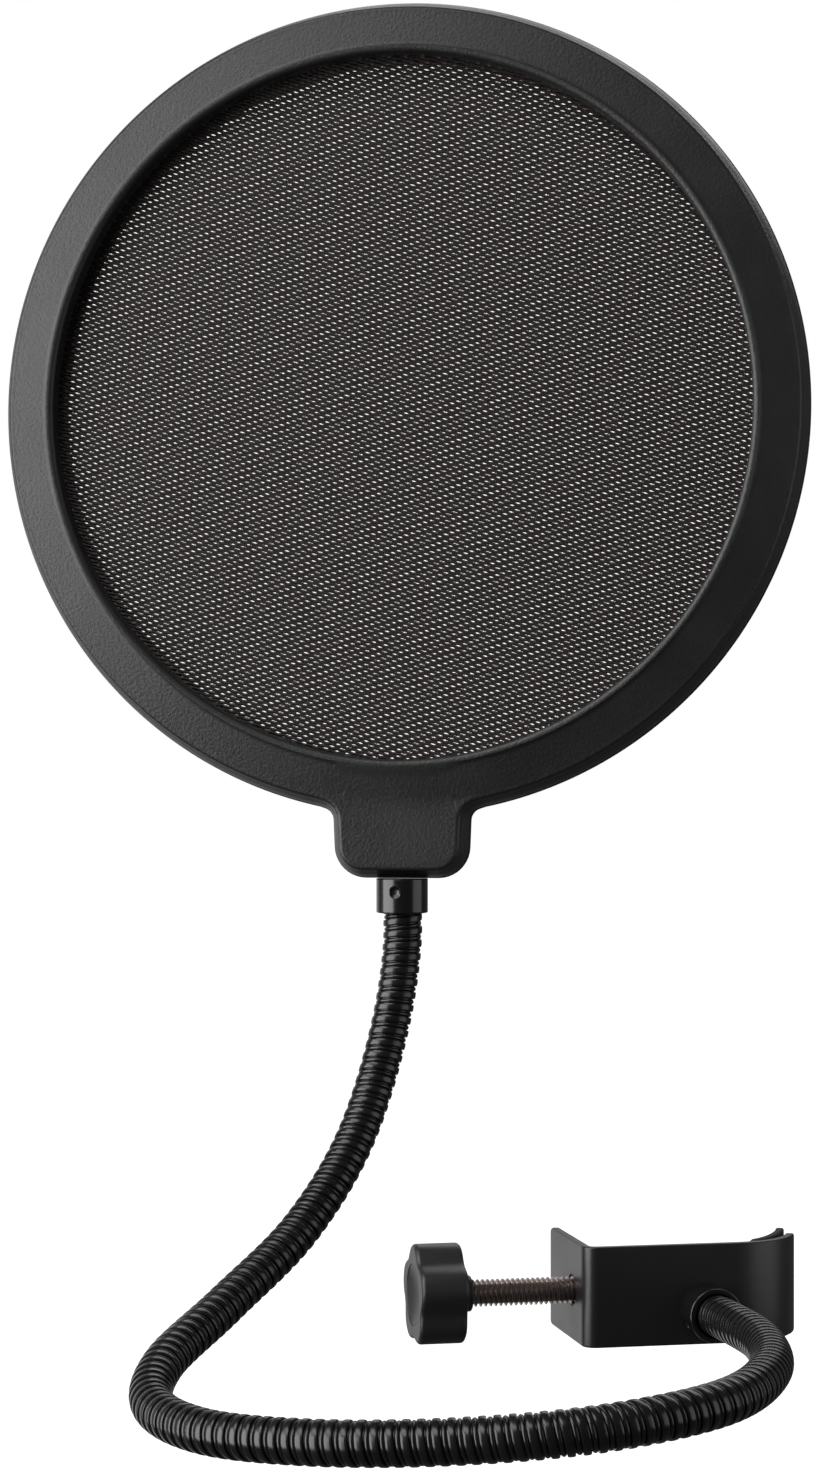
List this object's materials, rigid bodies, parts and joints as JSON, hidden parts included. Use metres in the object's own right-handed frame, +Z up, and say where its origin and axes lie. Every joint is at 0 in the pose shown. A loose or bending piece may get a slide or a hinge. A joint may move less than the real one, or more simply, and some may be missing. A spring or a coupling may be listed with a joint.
{
  "type": "pop filter",
  "caption": "Round double-mesh microphone pop filter on a bendable metal gooseneck, held by a bent-steel screw clamp with a lobed knob.",
  "frame": {"origin": "on the flat inner face of the clamp's web, at mid height of the strip, in the clamp's throat", "axes": "+Z up, +Y out of the web's inner face into the clamp's throat (the clamp's front is -Y), +X along the web towards the hooked jaw"},
  "size_m": [0.1482, 0.1561, 0.2567],
  "materials": {
    "frame_plastic": "satin black moulded plastic with a fine grain",
    "nylon_mesh": "black woven nylon mesh, see-through",
    "inner_plastic": "matte black plastic",
    "gloss_metal": "gloss black plated metal",
    "neck_metal": "semi-gloss black interlocked metal strip",
    "satin_metal": "satin black coated steel",
    "screw_steel": "dark bronze coated steel",
    "zinc_steel": "plated steel",
    "knob_plastic": "satin black moulded plastic",
    "rubber": "matte black rubber"
  },
  "bodies": {
    "clamp": {"clamp_bracket": "satin_metal", "jaw_pad": "rubber", "base_ferrule": "gloss_metal", "base_screw": "zinc_steel", "neck_segment_1": "neck_metal"},
    "neck_2": {"neck_segment_2": "neck_metal"},
    "neck_3": {"neck_segment_3": "neck_metal"},
    "neck_4": {"neck_segment_4": "neck_metal"},
    "neck_5": {"neck_segment_5": "neck_metal"},
    "neck_6": {"neck_segment_6": "neck_metal"},
    "neck_7": {"neck_segment_7": "neck_metal"},
    "neck_8": {"neck_segment_8": "neck_metal"},
    "head": {"neck_segment_9": "neck_metal", "upper_ferrule": "gloss_metal", "front_frame": "frame_plastic", "rear_frame": "frame_plastic", "front_mesh": "nylon_mesh", "rear_mesh": "nylon_mesh", "mesh_spacer_ring": "inner_plastic", "tab_screw_left": "zinc_steel", "tab_screw_right": "zinc_steel"},
    "ball_tip": {"screw_ball_tip": "screw_steel"},
    "screw": {"clamp_screw": "screw_steel", "knob": "knob_plastic"},
    "pad": {"pressure_pad_cup": "inner_plastic", "pressure_pad_rubber": "rubber"}
  },
  "joints": [
    {"name": "neck_bend_1", "type": "hinge", "parent": "clamp", "child": "neck_2", "pos_m": [0.00873, -0.03097, -0.00297], "axis": [-0.0007, -0.0087, 1], "range_deg": [-25, 30]},
    {"name": "neck_bend_2", "type": "hinge", "parent": "neck_2", "child": "neck_3", "pos_m": [-0.00386, -0.06742, -0.00364], "axis": [-0.8282, 0.5604, 0], "range_deg": [-25, 25]},
    {"name": "neck_bend_3", "type": "hinge", "parent": "neck_3", "child": "neck_4", "pos_m": [-0.03685, -0.0848, -0.00565], "axis": [-0.0915, 0.0052, 0.9958], "range_deg": [-6, 25]},
    {"name": "neck_bend_4", "type": "hinge", "parent": "neck_4", "child": "neck_5", "pos_m": [-0.07279, -0.07085, -0.009], "axis": [0.5516, 0.8341, 0], "range_deg": [-25, 25]},
    {"name": "neck_bend_5", "type": "hinge", "parent": "neck_5", "child": "neck_6", "pos_m": [-0.09612, -0.0407, -0.01031], "axis": [0.0075, -0.0274, 0.9996], "range_deg": [-5, 25]},
    {"name": "neck_bend_6", "type": "hinge", "parent": "neck_6", "child": "neck_7", "pos_m": [-0.08667, -0.0056, -0.00258], "axis": [0.7749, -0.6321, 0], "range_deg": [-25, 25]},
    {"name": "neck_bend_7", "type": "hinge", "parent": "neck_7", "child": "neck_8", "pos_m": [-0.06186, 0.0195, 0.01353], "axis": [-0.2154, -0.5917, 0.7768], "range_deg": [-25, 25]},
    {"name": "neck_bend_8", "type": "hinge", "parent": "neck_8", "child": "head", "pos_m": [-0.04454, 0.03478, 0.04417], "axis": [0.9028, -0.3911, -0.1787], "range_deg": [-30, 30]},
    {"name": "screw_feed", "type": "slide", "parent": "clamp", "child": "ball_tip", "axis": [1, 0, 0], "range_m": [-0.008, 0.014]},
    {"name": "screw_turn", "type": "hinge", "parent": "ball_tip", "child": "screw", "pos_m": [-0.02, 0.0079, 0], "axis": [1, 0, 0], "range_deg": [-3050, 5320]},
    {"name": "pad_tilt", "type": "hinge", "parent": "ball_tip", "child": "pad", "pos_m": [-0.0006, 0.0079, 0], "axis": [0, 0, 1], "range_deg": [-5, 5]}
  ],
  "couplings": [
    {"joint": "screw_turn", "follows": "screw_feed", "rad_per_m": 6613.9}
  ]
}
